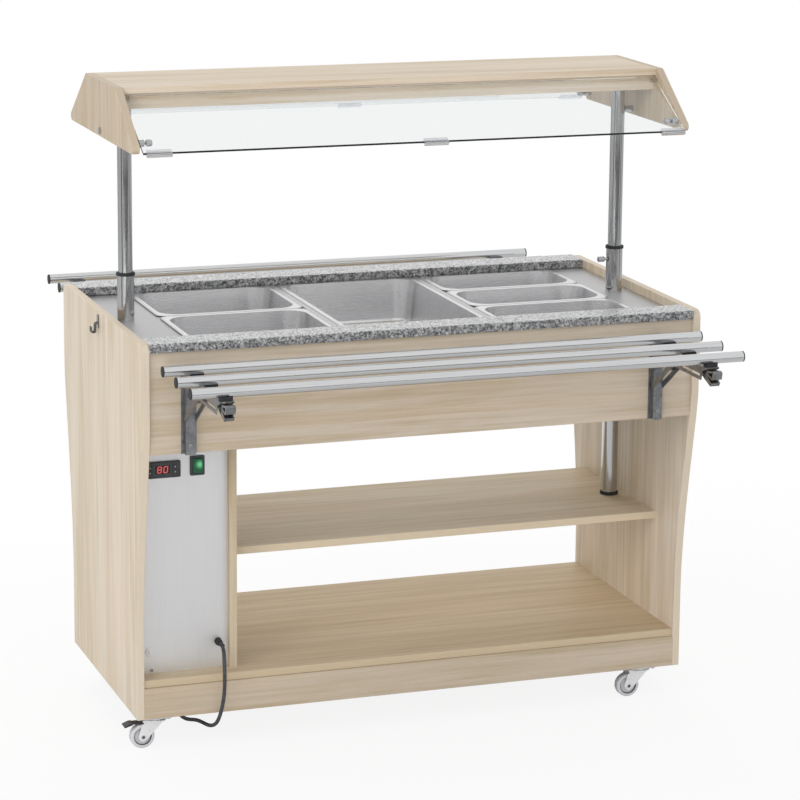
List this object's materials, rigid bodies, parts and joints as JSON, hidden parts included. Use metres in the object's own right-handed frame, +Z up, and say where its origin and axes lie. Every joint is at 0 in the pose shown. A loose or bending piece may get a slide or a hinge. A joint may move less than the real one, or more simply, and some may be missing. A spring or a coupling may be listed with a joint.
{
  "type": "heated buffet cart",
  "caption": "Wheeled buffet cart: heated well with lift-out pans, open shelves, height-adjustable wooden hood with hinged glass flaps on posts, and folding tube tray slides.",
  "frame": {"origin": "on the floor under the middle of the cart", "axes": "+X along the cart away from the control compartment, -Y towards the side with the controls, +Z up"},
  "size_m": [1.2417, 1.288, 1.364],
  "materials": {
    "laminate": "light wood-grain laminate, satin",
    "granite": "polished speckled granite",
    "steel": "brushed stainless sheet",
    "element": "dull heated tube",
    "chrome": "polished",
    "black_plastic": "moulded, matt",
    "key_plastic": "soft key, matt",
    "rocker_green": "lit translucent",
    "zinc": "bright zinc plated",
    "wheel_rubber": "pale grey rubber, matt",
    "bracket_steel": "grey powder coat",
    "glass": "clear, polished edges",
    "clear_plastic": "clear moulded",
    "cord": "dark grey sheath, matt"
  },
  "bodies": {
    "cart": {"side_panels": "laminate", "aprons": "laminate", "granite_strips": "granite", "steel_worktop": "steel", "well_tank": "steel", "heating_element": "element", "middle_shelf": "laminate", "bottom_board": "laminate", "plinth_frame": "laminate", "compartment_boards": "laminate", "control_panel": "steel", "panel_bezels": "black_plastic", "cord_gland": "black_plastic", "side_hook": "chrome", "post_sleeves": "chrome", "sleeve_rings": "black_plastic", "bracket_rails": "bracket_steel", "castor_plates": "zinc", "pan_bars": "steel", "mains_lead": "cord", "lead_coil": "cord", "plug": "cord"},
    "hood": {"hood_cheeks": "laminate", "hood_top": "laminate", "hood_posts": "chrome", "glass_rests": "black_plastic"},
    "front_flap": {"glass_front": "glass", "glass_fittings_front": "clear_plastic"},
    "rear_flap": {"glass_rear": "glass", "glass_fittings_rear": "clear_plastic"},
    "thumb_screw": {"height_screw": "black_plastic"},
    "rocker_key": {"rocker": "rocker_green"},
    "left_keys": {"key_pad_left": "key_plastic"},
    "right_keys": {"key_pad_right": "key_plastic"},
    "front_tray": {"tray_tubes_front": "chrome", "tray_plastics_front": "black_plastic", "tray_arms_front": "bracket_steel"},
    "front_struts": {"tray_struts_front": "bracket_steel"},
    "front_levers": {"tray_levers_front": "black_plastic"},
    "rear_tray": {"tray_tubes_rear": "chrome", "tray_plastics_rear": "black_plastic", "tray_arms_rear": "bracket_steel"},
    "rear_struts": {"tray_struts_rear": "bracket_steel"},
    "rear_levers": {"tray_levers_rear": "black_plastic"},
    "fork_front_left": {"castor_fork_front_left": "zinc"},
    "wheel_front_left": {"castor_wheel_front_left": "wheel_rubber"},
    "brake_front_left": {"brake_pedal_front_left": "black_plastic"},
    "fork_front_right": {"castor_fork_front_right": "zinc"},
    "wheel_front_right": {"castor_wheel_front_right": "wheel_rubber"},
    "fork_rear_left": {"castor_fork_rear_left": "zinc"},
    "wheel_rear_left": {"castor_wheel_rear_left": "wheel_rubber"},
    "fork_rear_right": {"castor_fork_rear_right": "zinc"},
    "wheel_rear_right": {"castor_wheel_rear_right": "wheel_rubber"},
    "brake_rear_right": {"brake_pedal_rear_right": "black_plastic"},
    "pan_half_front_body": {"pan_half_front": "steel"},
    "pan_half_rear_body": {"pan_half_rear": "steel"},
    "pan_full_body": {"pan_full": "steel"},
    "pan_third_front_body": {"pan_third_front": "steel"},
    "pan_third_middle_body": {"pan_third_middle": "steel"},
    "pan_third_rear_body": {"pan_third_rear": "steel"}
  },
  "joints": [
    {"name": "hood_height", "type": "slide", "parent": "cart", "child": "hood", "axis": [0, 0, 1], "range_m": [-0.25, 0.15]},
    {"name": "front_glass_tilt", "type": "hinge", "parent": "hood", "child": "front_flap", "pos_m": [0, -0.119, 1.343], "axis": [-1, 0, 0], "range_deg": [0, 40]},
    {"name": "rear_glass_tilt", "type": "hinge", "parent": "hood", "child": "rear_flap", "pos_m": [0, 0.119, 1.343], "axis": [1, 0, 0], "range_deg": [0, 40]},
    {"name": "thumb_screw_turn", "type": "hinge", "parent": "cart", "child": "thumb_screw", "pos_m": [0.53, 0, 0.928], "axis": [1, 0, 0], "range_deg": [0, 360]},
    {"name": "power_rocker", "type": "hinge", "parent": "cart", "child": "rocker_key", "pos_m": [-0.465, -0.2265, 0.59], "axis": [1, 0, 0], "range_deg": [0, 10]},
    {"name": "left_keys_press", "type": "slide", "parent": "cart", "child": "left_keys", "axis": [0, 1, 0], "range_m": [0, 0.0006], "stiffness_N_per_m": 400, "springref_m": -0.0002},
    {"name": "right_keys_press", "type": "slide", "parent": "cart", "child": "right_keys", "axis": [0, 1, 0], "range_m": [0, 0.0006], "stiffness_N_per_m": 400, "springref_m": -0.0002},
    {"name": "front_tray_fold", "type": "hinge", "parent": "cart", "child": "front_tray", "pos_m": [0, -0.358, 0.805], "axis": [1, 0, 0], "range_deg": [0, 90]},
    {"name": "front_strut_swing", "type": "hinge", "parent": "cart", "child": "front_struts", "pos_m": [0, -0.344, 0.716], "axis": [1, 0, 0], "range_deg": [0, 123.53]},
    {"name": "front_lever_press", "type": "hinge", "parent": "front_tray", "child": "front_levers", "pos_m": [0, -0.592, 0.8], "axis": [1, 0, 0], "range_deg": [0, 12], "stiffness_Nm_per_rad": 0.5, "springref_deg": -5.73},
    {"name": "rear_tray_fold", "type": "hinge", "parent": "cart", "child": "rear_tray", "pos_m": [0, 0.358, 0.805], "axis": [-1, 0, 0], "range_deg": [0, 90]},
    {"name": "rear_strut_swing", "type": "hinge", "parent": "cart", "child": "rear_struts", "pos_m": [0, 0.344, 0.716], "axis": [-1, 0, 0], "range_deg": [0, 123.53]},
    {"name": "rear_lever_press", "type": "hinge", "parent": "rear_tray", "child": "rear_levers", "pos_m": [0, 0.592, 0.8], "axis": [-1, 0, 0], "range_deg": [0, 12], "stiffness_Nm_per_rad": 0.5, "springref_deg": -5.73},
    {"name": "swivel_front_left", "type": "hinge", "parent": "cart", "child": "fork_front_left", "pos_m": [-0.564, -0.245, 0.06], "axis": [0, 0, 1], "continuous": true},
    {"name": "roll_front_left", "type": "hinge", "parent": "fork_front_left", "child": "wheel_front_left", "pos_m": [-0.592, -0.245, 0.0255], "axis": [0, 1, 0], "continuous": true},
    {"name": "brake_front_left", "type": "hinge", "parent": "fork_front_left", "child": "brake_front_left", "pos_m": [-0.5925, -0.245, 0.055], "axis": [0, -1, 0], "range_deg": [0, 10]},
    {"name": "swivel_front_right", "type": "hinge", "parent": "cart", "child": "fork_front_right", "pos_m": [0.53, -0.245, 0.06], "axis": [0, 0, 1], "continuous": true},
    {"name": "roll_front_right", "type": "hinge", "parent": "fork_front_right", "child": "wheel_front_right", "pos_m": [0.502, -0.245, 0.0255], "axis": [0, 1, 0], "continuous": true},
    {"name": "swivel_rear_left", "type": "hinge", "parent": "cart", "child": "fork_rear_left", "pos_m": [-0.564, 0.245, 0.06], "axis": [0, 0, 1], "continuous": true},
    {"name": "roll_rear_left", "type": "hinge", "parent": "fork_rear_left", "child": "wheel_rear_left", "pos_m": [-0.536, 0.245, 0.0255], "axis": [0, 1, 0], "continuous": true},
    {"name": "swivel_rear_right", "type": "hinge", "parent": "cart", "child": "fork_rear_right", "pos_m": [0.53, 0.245, 0.06], "axis": [0, 0, 1], "continuous": true},
    {"name": "roll_rear_right", "type": "hinge", "parent": "fork_rear_right", "child": "wheel_rear_right", "pos_m": [0.502, 0.245, 0.0255], "axis": [0, 1, 0], "continuous": true},
    {"name": "brake_rear_right", "type": "hinge", "parent": "fork_rear_right", "child": "brake_rear_right", "pos_m": [0.5015, 0.245, 0.055], "axis": [0, -1, 0], "range_deg": [0, 10]},
    {"name": "pan_half_front_lift", "type": "slide", "parent": "cart", "child": "pan_half_front_body", "axis": [0, 0, 1], "range_m": [0, 0.15]},
    {"name": "pan_half_rear_lift", "type": "slide", "parent": "cart", "child": "pan_half_rear_body", "axis": [0, 0, 1], "range_m": [0, 0.15]},
    {"name": "pan_full_lift", "type": "slide", "parent": "cart", "child": "pan_full_body", "axis": [0, 0, 1], "range_m": [0, 0.15]},
    {"name": "pan_third_front_lift", "type": "slide", "parent": "cart", "child": "pan_third_front_body", "axis": [0, 0, 1], "range_m": [0, 0.15]},
    {"name": "pan_third_middle_lift", "type": "slide", "parent": "cart", "child": "pan_third_middle_body", "axis": [0, 0, 1], "range_m": [0, 0.15]},
    {"name": "pan_third_rear_lift", "type": "slide", "parent": "cart", "child": "pan_third_rear_body", "axis": [0, 0, 1], "range_m": [0, 0.15]}
  ],
  "couplings": [
    {"joint": "front_strut_swing", "follows": "front_tray_fold", "ratio": 1.3726},
    {"joint": "rear_strut_swing", "follows": "rear_tray_fold", "ratio": 1.3726}
  ]
}
